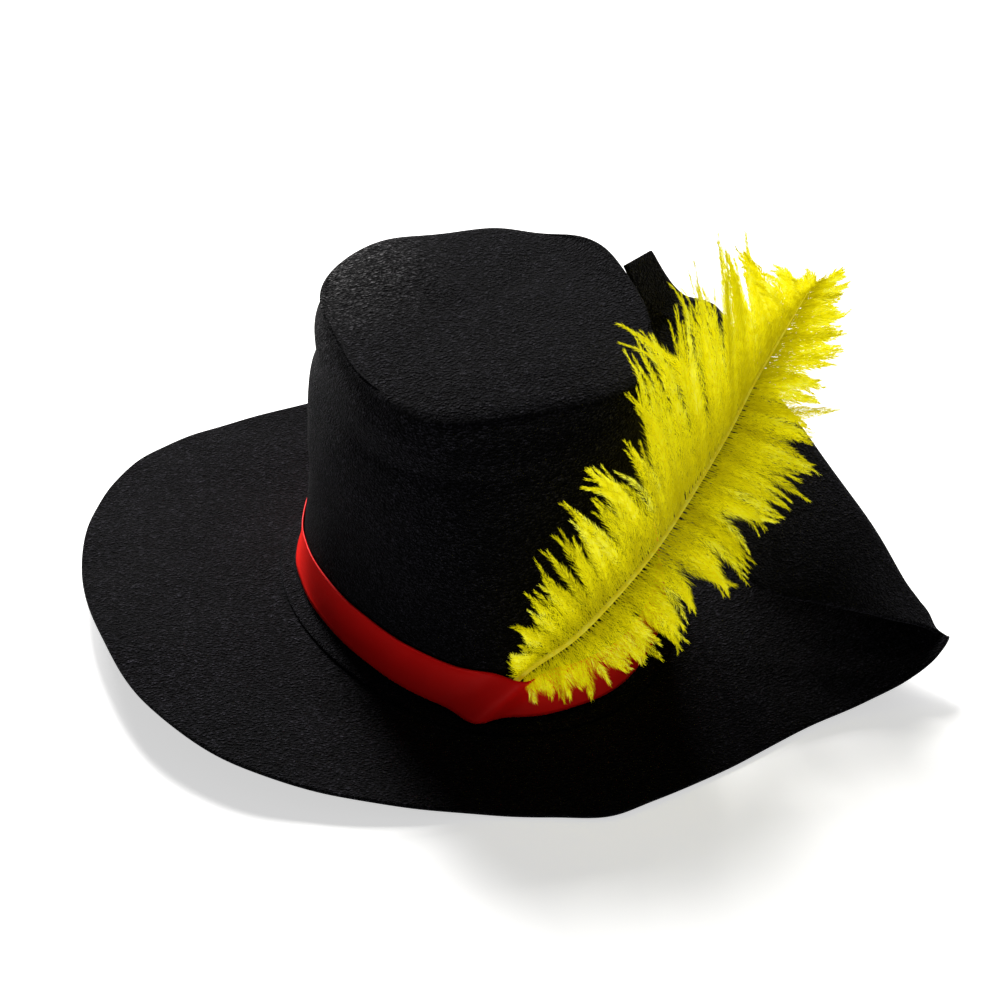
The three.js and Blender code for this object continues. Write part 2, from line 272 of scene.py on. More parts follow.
def grid_faces(rows: int, columns: int, wrap_rows: bool, wrap_columns: bool) -> list[tuple]:
    """Quads over a grid of points that is stored row by row.

    Args:
        rows: Number of rows.
        columns: Number of points in a row.
        wrap_rows: Whether the last row joins the first.
        wrap_columns: Whether each row closes on itself.

    Returns:
        Four point numbers for each face.
    """
    i = np.arange(rows if wrap_rows else rows - 1)[:, None]
    j = np.arange(columns if wrap_columns else columns - 1)[None, :]
    following, beside = (i + 1) % rows, (j + 1) % columns
    corners = (
        i * columns + j,
        i * columns + beside,
        following * columns + beside,
        following * columns + j,
    )
    return np.stack([c.ravel() for c in corners], axis=1).tolist()


@dataclass(frozen=True)
class Seat:
    """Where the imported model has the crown's axis, in metres."""

    x: float
    y: float

    @classmethod
    def from_frame(cls, foot_front: float) -> Seat:
        """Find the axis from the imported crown.

        Args:
            foot_front: Reach of the crown's foot to the front of its axis, in millimetres.

        Returns:
            The seat of every piece.
        """
        low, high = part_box("crown")
        return cls((low[0] + high[0]) / 2, low[1] + foot_front * MM)

    def place(self, points: np.ndarray) -> np.ndarray:
        """Millimetres round the crown's axis to metres in the frame."""
        return points.reshape(-1, 3) * MM + np.array([self.x, self.y, 0.0])


def add_piece(name: str, points: np.ndarray, faces: list, material: bpy.types.Material,
              tones: np.ndarray | None = None) -> bpy.types.Object:
    """Make a mesh piece that rides on the hat.

    Args:
        name: Name of the piece.
        points: Its points, in metres.
        faces: Its faces, as point numbers.
        material: Its finish.
        tones: A value from 0 to 1 for each point, kept as the attribute "tone".

    Returns:
        The new object.
    """
    mesh = bpy.data.meshes.new(name)
    mesh.from_pydata(points.tolist(), [], faces)
    mesh.shade_smooth()
    if tones is not None:
        layer = mesh.attributes.new("tone", "FLOAT", "POINT")
        layer.data.foreach_set("value", np.asarray(tones, dtype=np.float32).ravel())
    mesh.materials.append(material)
    piece = bpy.data.objects.new(name, mesh)
    bpy.context.scene.collection.objects.link(piece)
    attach(piece, BODY)
    LOG.info("%s: %d faces", name, len(mesh.polygons))
    return piece


class NodeTree:
    """Short calls for building a tree of shader nodes."""

    def __init__(self, tree: bpy.types.NodeTree) -> None:
        """Work on a tree that exists."""
        self.tree = tree

    def add(self, kind: str, settings: dict | None = None, **inputs: object) -> bpy.types.Node:
        """Add a node.

        Args:
            kind: The node's type without the word ShaderNode in front.
            settings: Properties of the node itself.
            **inputs: Values or sockets for its inputs, with _ for a space in a name.

        Returns:
            The new node.
        """
        node = self.tree.nodes.new(kind if kind.startswith("Node") else "ShaderNode" + kind)
        for key, value in (settings or {}).items():
            setattr(node, key, value)
        for key, value in inputs.items():
            self.feed(node.inputs[key.replace("_", " ")], value)
        return node

    def feed(self, socket: bpy.types.NodeSocket, value: object) -> None:
        """Link a socket to value, or set it if value is plain."""
        if isinstance(value, bpy.types.NodeSocket):
            self.tree.links.new(value, socket)
        else:
            socket.default_value = value

    def math(self, operation: str, *values: object) -> bpy.types.NodeSocket:
        """Add a Math node and give its result."""
        node = self.tree.nodes.new("ShaderNodeMath")
        node.operation = operation
        for socket, value in zip(node.inputs, values):
            self.feed(socket, value)
        return node.outputs[0]

    def blend(self, factor: object, first: object, second: object) -> bpy.types.NodeSocket:
        """Mix two colours by a factor and give the result."""
        node = self.tree.nodes.new("ShaderNodeMix")
        node.data_type = "RGBA"
        for socket, value in zip((node.inputs[0], node.inputs[6], node.inputs[7]),
                                 (factor, first, second)):
            self.feed(socket, value)
        return node.outputs[2]

    def span(self, value: object, low: float, high: float, to_low: float = 0.0,
             to_high: float = 1.0) -> bpy.types.NodeSocket:
        """Map value from one range to another and give the result."""
        node = self.add("MapRange", None, Value=value, From_Min=low, From_Max=high,
                        To_Min=to_low, To_Max=to_high)
        return node.outputs[0]


def fibre_group() -> bpy.types.NodeTree:
    """Node group of matted fibres, used by the felt.

    Returns:
        The group, with inputs Vector and Size and outputs Height and Fleck.
    """
    name = "Matted fibres"
    if name in bpy.data.node_groups:
        return bpy.data.node_groups[name]
    group = bpy.data.node_groups.new(name, "ShaderNodeTree")
    face = group.interface
    face.new_socket("Vector", in_out="INPUT", socket_type="NodeSocketVector")
    face.new_socket("Size", in_out="INPUT", socket_type="NodeSocketFloat")
    face.new_socket("Height", in_out="OUTPUT", socket_type="NodeSocketFloat")
    face.new_socket("Fleck", in_out="OUTPUT", socket_type="NodeSocketFloat")
    nodes = NodeTree(group)
    given = nodes.add("NodeGroupInput")
    density = nodes.math("DIVIDE", 1.0, given.outputs["Size"])
    warp = nodes.add("TexNoise", None, Vector=given.outputs["Vector"],
                     Scale=nodes.math("MULTIPLY", density, 0.3), Detail=2.0)
    drift = nodes.add("VectorMath", {"operation": "MULTIPLY_ADD"})
    nodes.feed(drift.inputs[0], warp.outputs["Color"])
    drift.inputs[1].default_value = (0.0012, 0.0012, 0.0012)
    nodes.feed(drift.inputs[2], given.outputs["Vector"])
    flattened = nodes.add("Mapping", None, Vector=drift.outputs[0], Scale=(0.75, 0.9, 1.0))
    cells = nodes.add("TexVoronoi", None, Vector=flattened.outputs[0], Scale=density)
    pebbles = nodes.span(cells.outputs["Distance"], 0.15, 0.75, 1.0, 0.0)
    strands = []
    for turn, stretch in (((0.3, 0.2, 0.4), 4.0), ((1.7, 2.3, 1.9), 5.0)):
        rotated = nodes.add("Mapping", None, Vector=drift.outputs[0], Rotation=turn,
                            Scale=(1.0 / stretch, 1.0, 1.0))
        streak = nodes.add("TexNoise", None, Vector=rotated.outputs[0],
                           Scale=nodes.math("MULTIPLY", density, 1.6), Detail=3.0, Roughness=0.6)
        strands.append(streak.outputs[0])
    strand = nodes.math("MAXIMUM", *strands)
    clumps = nodes.add("TexNoise", None, Vector=given.outputs["Vector"],
                       Scale=nodes.math("MULTIPLY", density, 0.4), Detail=4.0, Roughness=0.65)
    height = nodes.math("ADD", nodes.math("MULTIPLY", pebbles, 0.45),
                        nodes.math("MULTIPLY", strand, 0.6))
    height = nodes.math("ADD", height, nodes.math("MULTIPLY", clumps.outputs[0], 0.45))
    fleck = nodes.math("MULTIPLY", nodes.span(strand, 0.5, 0.66),
                       nodes.span(clumps.outputs[0], 0.36, 0.66, 0.1, 1.0))
    fleck = nodes.math("MULTIPLY", fleck, nodes.span(pebbles, 0.1, 0.8, 0.15, 1.0))
    result = nodes.add("NodeGroupOutput")
    nodes.feed(result.inputs["Height"], height)
    nodes.feed(result.inputs["Fleck"], fleck)
    return group


@dataclass(frozen=True)
class FeltFinish:
    """Dyed wool felt: matte, mottled, with short pale fibre ends and one paler place that is a
    painted highlight.
    """

    name: str
    ground: tuple[float, float, float]
    fleck: tuple[float, float, float]
    # Colour, place and reach of the painted highlight on the crown's shoulder
    painted_highlight: tuple[float, float, float]
    painted_highlight_place: tuple[float, float, float]
    painted_highlight_reach: float
    fibre: float
    relief: float
    sheen: float
    sheen_roughness: float = 0.3
    sheen_tint: tuple[float, float, float] = (0.85, 0.85, 0.95)
    specular: float = 0.05

    def material(self) -> bpy.types.Material:
        """Build the felt's material, with a painted highlight on the crown's shoulder.

        Returns:
            The new material.
        """
        material = bpy.data.materials.new(self.name)
        material.use_nodes = True
        nodes = NodeTree(material.node_tree)
        shader = material.node_tree.nodes["Principled BSDF"]
        shader.inputs["Specular IOR Level"].default_value = self.specular
        shader.inputs["Sheen Weight"].default_value = self.sheen
        shader.inputs["Sheen Roughness"].default_value = self.sheen_roughness
        shader.inputs["Sheen Tint"].default_value = (*self.sheen_tint, 1.0)
        where = nodes.add("TexCoord").outputs["Object"]
        coarse = nodes.add("Group", {"node_tree": fibre_group()})
        nodes.feed(coarse.inputs["Vector"], where)
        coarse.inputs["Size"].default_value = self.fibre
        patches = nodes.add("TexNoise", None, Vector=where, Scale=26.0, Detail=3.0)
        worn = nodes.span(patches.outputs[0], 0.35, 0.7, 0.55, 1.0)
        amount = nodes.math("MULTIPLY", coarse.outputs["Fleck"], worn)
        # Painted highlight: the flecks turn pale round one place on the crown's shoulder
        away = nodes.add("VectorMath", {"operation": "DISTANCE"})
        nodes.feed(away.inputs[0], where)
        away.inputs[1].default_value = self.painted_highlight_place
        highlight_share = nodes.span(away.outputs["Value"], 0.0, self.painted_highlight_reach, 1.0, 0.0)
        highlight_share = nodes.math("POWER", highlight_share, 1.6)
        pale = nodes.blend(highlight_share, (*self.fleck, 1.0), (*self.painted_highlight, 1.0))
        color = nodes.blend(amount, (*self.ground, 1.0), pale)
        nodes.feed(shader.inputs["Base Color"], color)
        rough = nodes.span(coarse.outputs["Fleck"], 0.0, 1.0, 0.9, 0.6)
        nodes.feed(shader.inputs["Roughness"], rough)
        bump = nodes.add("Bump", None, Strength=1.0, Distance=self.relief * MM,
                         Height=coarse.outputs["Height"])
        nodes.feed(shader.inputs["Normal"], bump.outputs[0])
        return material


@dataclass(frozen=True)
class SatinFinish:
    """Red satin: fine threads along the ribbon, with a soft broken shine."""

    name: str
    deep: tuple[float, float, float]
    bright: tuple[float, float, float]
    thread: float
    sheen: float = 0.4
    sheen_roughness: float = 0.4
    sheen_tint: tuple[float, float, float] = (1.0, 0.03, 0.02)
    specular: float = 0.1

    def material(self) -> bpy.types.Material:
        """Build the ribbon's material.

        Returns:
            The new material.
        """
        material = bpy.data.materials.new(self.name)
        material.use_nodes = True
        nodes = NodeTree(material.node_tree)
        shader = material.node_tree.nodes["Principled BSDF"]
        shader.inputs["Specular IOR Level"].default_value = self.specular
        shader.inputs["Sheen Weight"].default_value = self.sheen
        shader.inputs["Sheen Roughness"].default_value = self.sheen_roughness
        shader.inputs["Sheen Tint"].default_value = (*self.sheen_tint, 1.0)
        where = nodes.add("TexCoord").outputs["Object"]
        flat = nodes.add("Mapping", None, Vector=where, Scale=(0.12, 0.12, 1.0))
        threads = nodes.add("TexNoise", None, Vector=flat.outputs[0], Scale=1.0 / self.thread,
                            Detail=2.0, Roughness=0.5)
        cloudy = nodes.add("TexNoise", None, Vector=where, Scale=45.0, Detail=2.0)
        tone = nodes.math("MULTIPLY", nodes.span(threads.outputs[0], 0.3, 0.7, 0.35, 1.0),
                          nodes.span(cloudy.outputs[0], 0.3, 0.7, 0.6, 1.0))
        edge = nodes.add("Attribute", {"attribute_name": "tone"})
        lit = nodes.math("MULTIPLY", tone, edge.outputs["Fac"])
        color = nodes.blend(lit, (*self.deep, 1.0), (*self.bright, 1.0))
        nodes.feed(shader.inputs["Base Color"], color)
        nodes.feed(shader.inputs["Roughness"], nodes.span(threads.outputs[0], 0.2, 0.8, 0.5, 0.34))
        bump = nodes.add("Bump", None, Strength=0.35, Distance=0.12 * MM,
                         Height=threads.outputs[0])
        nodes.feed(shader.inputs["Normal"], bump.outputs[0])
        return material


@dataclass(frozen=True)
class FeatherFinish:
    """Dyed feather: darker and warmer at the shaft, clear yellow at the barbs' ends, with a painted
    glow of its own colour.
    """

    name: str
    root: tuple[float, float, float]
    body: tuple[float, float, float]
    pale: tuple[float, float, float]
    roughness: float
    painted_glow: float

    def material(self) -> bpy.types.Material:
        """Build the feather's material.

        Returns:
            The new material.
        """
        material = bpy.data.materials.new(self.name)
        material.use_nodes = True
        nodes = NodeTree(material.node_tree)
        shader = material.node_tree.nodes["Principled BSDF"]
        shader.inputs["Specular IOR Level"].default_value = 0.1
        # Painted glow: the feather emits its own colour, standing in for light that passes through
        # it
        shader.inputs["Emission Strength"].default_value = self.painted_glow
        tone = nodes.add("Attribute", {"attribute_name": "tone"})
        where = nodes.add("TexCoord").outputs["Object"]
        dye = nodes.add("TexNoise", None, Vector=where, Scale=320.0, Detail=3.0)
        amount = nodes.math("MULTIPLY", tone.outputs["Fac"],
                            nodes.span(dye.outputs[0], 0.3, 0.65, 0.75, 1.0))
        color = nodes.blend(nodes.span(amount, 0.0, 0.75), (*self.root, 1.0), (*self.body, 1.0))
        # Paler towards the ends of some barbs: partly tone that differs from barb to barb, partly a
        # painted highlight on the wisps
        color = nodes.blend(nodes.span(amount, 0.8, 1.0), color, (*self.pale, 1.0))
        nodes.feed(shader.inputs["Base Color"], color)
        nodes.feed(shader.inputs["Emission Color"], color)
        nodes.feed(shader.inputs["Roughness"], nodes.span(dye.outputs[0], 0.2, 0.8,
                                                          self.roughness, self.roughness - 0.15))
        return material


@dataclass
class Crown:
    """Tall felt crown, hollow and open below, with a turned-out foot that lies on the brim."""

    seat: Seat
    rows: tuple[CrownRow, ...]
    flange: tuple[tuple[float, float], ...] = (
        (6.0, 0.05), (6.35, 0.5), (6.2, 1.1), (5.3, 1.65), (3.4, 1.95), (1.4, 2.1),
    )
    top: float = 156.0
    ridge_height: float = 1.0
    ridge_half_width: float = 70.0
    tilt_sideways: float = 0.02
    tilt_lengthwise: float = 0.07
    lean: float = 5.0
    swells: tuple[Swell, ...] = (
        Swell(-27.0, 25.0, 4.6), Swell(51.0, 15.0, -3.4), Swell(80.0, 14.0, 6.5),
    )
    sectors: int = 300
    steps_per_row: int = 8
    crease_height: float = 126.0
    crease_depth: float = 0.3
    crease_half_width: float = 3.5

    def profile(self, places: np.ndarray) -> tuple[np.ndarray, Oval]:
        """The outline at places between the rows.

        Args:
            places: Where to read, counted in rows from the foot.

        Returns:
            Heights, and an oval whose fields are columns.
        """
        table = spline(np.array(self.rows, dtype=float), places)
        columns = [table[:, [k]] for k in range(5)]
        return columns[0], Oval(*columns[1:])

    def raised(self, heights: np.ndarray, flat: np.ndarray, angle: np.ndarray) -> np.ndarray:
        """Set outlines at their height, with the ridge, the swells and the tilt of the top.

        Args:
            heights: Height of each row above the foot.
            flat: X and Y of each point.
            angle: Angle of each point.

        Returns:
            X, Y and Z of each point.
        """
        x, y = flat[..., 0], flat[..., 1]
        low = 1.0 - smooth(heights, 20, 90)
        share = np.abs(x) / self.ridge_half_width
        tent = np.maximum(0.0, 1.0 + 0.08 - np.sqrt(share**2 + 0.08**2))
        ridge = self.ridge_height * smooth(heights, 132, 150) * tent
        slope = self.tilt_sideways * x + self.tilt_lengthwise * y
        tilt = slope * smooth(heights, 40, 126)
        towards_back = smooth(heights, 132, 152) * (0.25 + 0.75 * smooth(y, -45, 40))
        for swell in self.swells:
            ridge = ridge + swell.lift * towards_back * np.exp(-(((x - swell.x) / swell.width) ** 2))
        z = heights + FELT + GAP + foot_rise(angle) * low + ridge + tilt
        x = x + self.lean * smooth(heights, 100, 148)
        return np.stack([x, y, z], axis=-1)

    def wall(self, height: float, angle: np.ndarray) -> np.ndarray:
        """Points of the outer wall at one height above the foot."""
        heights = [row.height for row in self.rows]
        place = np.interp(height, heights, np.arange(len(heights)))
        level, size = self.profile(np.array([place]))
        flat = outline(size, angle[None, :])
        return self.raised(np.full((1, 1), height), flat, angle[None, :])[0]

    def creases(self, heights: np.ndarray, angle: np.ndarray) -> np.ndarray:
        """How far the shoulder's crease pulls the wall in, strongest at the front and right."""
        turn = np.degrees(angle) % 360.0
        window = smooth(turn, 192, 215) * (1.0 - smooth(turn, 258, 285))
        centre = self.crease_height + 2.2 * np.sin(np.radians(turn * 1.7))
        groove = np.exp(-((heights - centre) / self.crease_half_width) ** 2)
        swell = np.exp(-((heights - centre - 6.0) / 4.5) ** 2)
        return self.crease_depth * window * (groove - 0.45 * swell)

    def build(self, felt: bpy.types.Material) -> bpy.types.Object:
        """Build the crown as one closed wall of felt.

        Args:
            felt: Its finish.

        Returns:
            The crown.
        """
        angle = (np.arange(self.sectors) * 2 * math.pi / self.sectors)[None, :]
        places = np.linspace(0, len(self.rows) - 1, (len(self.rows) - 1) * self.steps_per_row + 1)
        heights, size = self.profile(places)
        sheet = self.raised(heights, outline(size, angle), angle)
        last = sheet[-1]
        pole = last.mean(axis=0) + np.array([0.0, 0.0, self.ridge_height])
        caps = [mix(last, pole, part) for part in (0.25, 0.5, 0.75, 0.97)]
        sheet = np.concatenate([sheet, np.array(caps)])
        levels = np.concatenate([heights, np.full((len(caps), 1), self.top)])
        wrapped = np.concatenate([sheet[:, -1:], sheet, sheet[:, :1]], axis=1)
        normals = grid_normals(wrapped, wrap=False)[:, 1:-1]
        soft = Wander(3, 95.0).at(sheet) * 0.9 + Wander(4, 34.0).at(sheet) * 0.28
        settle = smooth(levels, 30, 70) * (1.0 - 0.6 * smooth(levels, 105, 130))
        sheet = sheet + normals * (soft * settle - self.creases(levels, angle))[..., None]
        inner = (sheet - normals * FELT)[self.steps_per_row:][::-1]
        first = self.rows[0]
        foot = Oval(first.side, first.front, first.back, first.fullness)
        edge = [
            self.raised(np.full((1, 1), height), outline(foot, angle, out), angle)
            for out, height in self.flange
        ]
        underside = self.raised(np.zeros((1, 1)), outline(foot, angle, -4.5), angle)
        outer = np.concatenate([*edge, sheet])
        within = np.concatenate([inner, underside])
        points = np.concatenate([outer, within])
        return self.close(points, len(outer), felt)

    def close(self, points: np.ndarray, outer: int, felt: bpy.types.Material) -> bpy.types.Object:
        """Join the rings to one closed body with a pole outside and inside.

        Args:
            points: Rings of points, the outer ones upwards and then the inner ones downwards.
            outer: How many of the rings are outer ones.
            felt: The crown's finish.

        Returns:
            The crown.
        """
        rings, sectors = points.shape[:2]
        faces = [
            face for number, face in enumerate(grid_faces(rings, sectors, True, True))
            if number // sectors != outer - 1
        ]
        poles = np.array([points[outer - 1].mean(axis=0), points[outer].mean(axis=0)])
        count = rings * sectors
        for j in range(sectors):
            k = (j + 1) % sectors
            faces.append(((outer - 1) * sectors + j, (outer - 1) * sectors + k, count))
            faces.append((outer * sectors + k, outer * sectors + j, count + 1))
        everything = np.concatenate([points.reshape(-1, 3), poles])
        piece = add_piece("crown_felt", self.seat.place(everything), faces, felt)
        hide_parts("crown")
        return piece


@dataclass
class Brim:
    """Wide felt brim, its wearer's left side turned up, folded over and ending in a tab."""

    seat: Seat
    opening: Oval
    folds: tuple[FoldRow, ...]
    rim: tuple[RimRow, ...]
    seat_width: float = 14.0
    fold_radius: float = 9.0
    section_steps: int = 12
    run_steps: int = 44
    bend_steps: int = 12
    flap_steps: int = 18
    tab_steps: int = 12

    def sections(self) -> tuple[np.ndarray, np.ndarray, np.ndarray, np.ndarray, np.ndarray]:
        """Spread the rows of the tables to many sections.

        Returns:
            Angles, folds, roots, edges, and 1 where the section belongs to the tab, else 0.
        """
        rows = list(self.folds)
        for row in self.rim:
            turn = math.radians(row.angle)
            edge = np.array([row.reach * math.cos(turn), row.reach * math.sin(turn), row.rise])
            flat = outline(self.opening, np.array(turn))
            foot = np.array([*flat, foot_rise(np.array(turn))])
            rows.append(FoldRow(row.angle, tuple(mix(foot, edge, 0.85)), tuple(edge)))
        fold_points = np.array([row.fold for row in rows], dtype=float)
        edge_points = np.array([row.edge for row in rows], dtype=float)
        angles = np.array([row.angle for row in rows] + [rows[0].angle + 360.0])
        count = len(rows)
        places = np.arange(count * self.section_steps) / self.section_steps
        folds = spline(fold_points, places, closed=True)
        edges = spline(edge_points, places, closed=True)
        tab = np.zeros(len(places))
        roots = np.zeros_like(edges)
        for i in range(count):
            here, after = rows[i], rows[(i + 1) % count]
            if here.root is None and after.root is None:
                continue
            for k in range(self.section_steps):
                part = k / self.section_steps
                at = i * self.section_steps + k
                edges[at] = mix(edge_points[i], edge_points[(i + 1) % count], part)
                ends = [
                    np.array(row.root or mix(np.array(row.fold), np.array(row.edge), FLAP_SHARE),
                             dtype=float)
                    for row in (here, after)
                ]
                roots[at] = mix(ends[0], ends[1], part)
                tab[at] = 1.0
        turns = np.interp(places, np.arange(count + 1), angles)
        return np.radians(turns), folds, roots, edges, tab

    def section(self, angle: float, fold: np.ndarray, root: np.ndarray, edge: np.ndarray,
                tab: float) -> np.ndarray:
        """One section of the middle surface, from the head opening to the cut edge.

        Args:
            angle: Angle at the crown's foot.
            fold: The fold, or a point of the plain brim near its rim.
            root: Where the tab leaves the flap.
            edge: The cut edge.
            tab: 1 where the section belongs to the tab.

        Returns:
            Points across the brim.
        """
        lift = np.array([0.0, 0.0, FELT / 2])
        z = float(foot_rise(np.array(angle))) + FELT / 2
        start = np.array([*outline(self.opening, np.array(angle)), z])
        leave = np.array([*outline(self.opening, np.array(angle), self.seat_width), z])
        outward = unit(leave - start)
        top, tip = fold + lift, edge + lift
        turned = root + lift if tab else mix(top, tip, FLAP_SHARE)
        back = np.linalg.norm(turned - top) if tab else np.linalg.norm(tip - top)
        bend = min(self.fold_radius, back * 0.45)
        span = np.linalg.norm(top - leave)
        steep = float(smooth(top[2] - leave[2], 10, 60))
        hug = leave + outward * span * (0.34 + 0.12 * steep)
        rise = mix(top, leave, 0.3) + outward * span * 0.14 * steep
        t = np.linspace(0, 1, 160)[:, None]
        run = ((1 - t) ** 3 * leave + 3 * (1 - t) ** 2 * t * hug + 3 * (1 - t) * t**2 * rise
               + t**3 * top)
        travelled = np.concatenate([[0], np.cumsum(np.linalg.norm(np.diff(run, axis=0), axis=1))])
        wanted = np.linspace(0, travelled[-1] - bend, self.run_steps + 1)
        rise_line = np.stack([np.interp(wanted, travelled, run[:, k]) for k in range(3)], axis=1)
        after = top + unit((turned if tab else tip) - top) * bend
        t = (np.arange(1, self.bend_steps + 1) / self.bend_steps)[:, None]
        turn = (1 - t) ** 2 * rise_line[-1] + 2 * (1 - t) * t * top + t**2 * after
        t = (np.arange(1, self.flap_steps + 1) / self.flap_steps)[:, None]
        flap = mix(after, turned, t)
        t = (np.arange(1, self.tab_steps + 1) / self.tab_steps)[:, None]
        end = mix(turned, tip, t)
        return np.concatenate([start[None], rise_line, turn, flap, end])

    def build(self, felt: bpy.types.Material) -> bpy.types.Object:
        """Build the brim as one closed sheet of felt.

        Args:
            felt: Its finish.

        Returns:
            The brim.
        """
        middle = np.array([self.section(*values) for values in zip(*self.sections())])
        normals = grid_normals(middle, wrap=True)
        free = smooth(np.arange(middle.shape[1]), 3, self.run_steps * 0.5)[None, :]
        soft = Wander(7, 120.0).at(middle) * 0.8 + Wander(8, 42.0).at(middle) * 0.28
        middle = middle + normals * (soft * free)[..., None]
        half = FELT / 2
        across = unit(np.gradient(middle, axis=1))
        above = middle + normals * half
        below = (middle - normals * half)[:, ::-1]
        last, last_normal, out = middle[:, -1], normals[:, -1], across[:, -1]
        edge = np.stack([
            last + last_normal * half * math.cos(turn) + out * half * 0.7 * math.sin(turn)
            for turn in np.radians([35, 65, 90, 115, 145])
        ], axis=1)
        loops = np.concatenate([above, edge, below], axis=1)
        loops[..., 2] = np.maximum(loops[..., 2], 0.0)
        rows, columns = loops.shape[:2]
        faces = grid_faces(rows, columns, True, True)
        piece = add_piece("brim_felt", self.seat.place(loops), faces, felt)
        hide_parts("brim")
        return piece


@dataclass
class RibbonBand:
    """Red satin ribbon round the foot of the crown, raised over the plume's quill."""

    seat: Seat
    crown: Crown
    width: float = 22.0
    thickness: float = 0.45
    lift: float = 5.5
    stand_off: float = 0.75
    bump_height: float = 7.3
    bump_half_width: float = 8.5
    bump_low_x: float = -40.0
    bump_high_x: float = -18.6
    sectors: int = 720
    levels: int = 17

    def bump(self, wall: np.ndarray) -> np.ndarray:
        """How far the ribbon stands off over the quill, at the front of the crown."""
        share = (wall[:, 2] - self.lift) / self.width
        ridge = mix(self.bump_low_x, self.bump_high_x, share)
        distance = (wall[:, 0] - ridge) / self.bump_half_width
        front = wall[:, 1] < 0
        return np.where(front, self.bump_height * np.exp(-(distance**2)), 0.0)

    def build(self, satin: bpy.types.Material) -> bpy.types.Object:
        """Build the ribbon as a closed thin loop.

        Args:
            satin: Its finish.

        Returns:
            The ribbon.
        """
        angle = np.arange(self.sectors) * 2 * math.pi / self.sectors
        outward = np.stack([np.cos(angle), np.sin(angle), np.zeros_like(angle)], axis=1)
        pucker = Wander(11, 38.0)
        inside, outside, tones = [], [], []
        for level in np.linspace(0, 1, self.levels):
            wall = self.crown.wall(self.lift + self.width * level, angle)
            rim = abs(level * 2 - 1) ** 6
            away = self.stand_off + self.bump(wall)
            away = away + 0.3 * (pucker.at(wall) + 1.0) * (0.35 + 0.65 * rim)
            inside.append(wall + outward * away[:, None])
            thick = self.thickness * (1 + 0.35 * rim)
            outside.append(wall + outward * (away + thick)[:, None])
            tones.append(np.full(self.sectors, 1.0 - 0.4 * rim))
        points = np.array(inside + outside[::-1]).transpose(1, 0, 2)
        tone = np.array(tones + tones[::-1]).T
        faces = grid_faces(self.sectors, 2 * self.levels, True, True)
        piece = add_piece("satin_ribbon", self.seat.place(points), faces, satin, tone)
        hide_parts("hat_band")
        loop = self.crown.wall(self.lift + self.width / 2, angle) * MM
        return piece


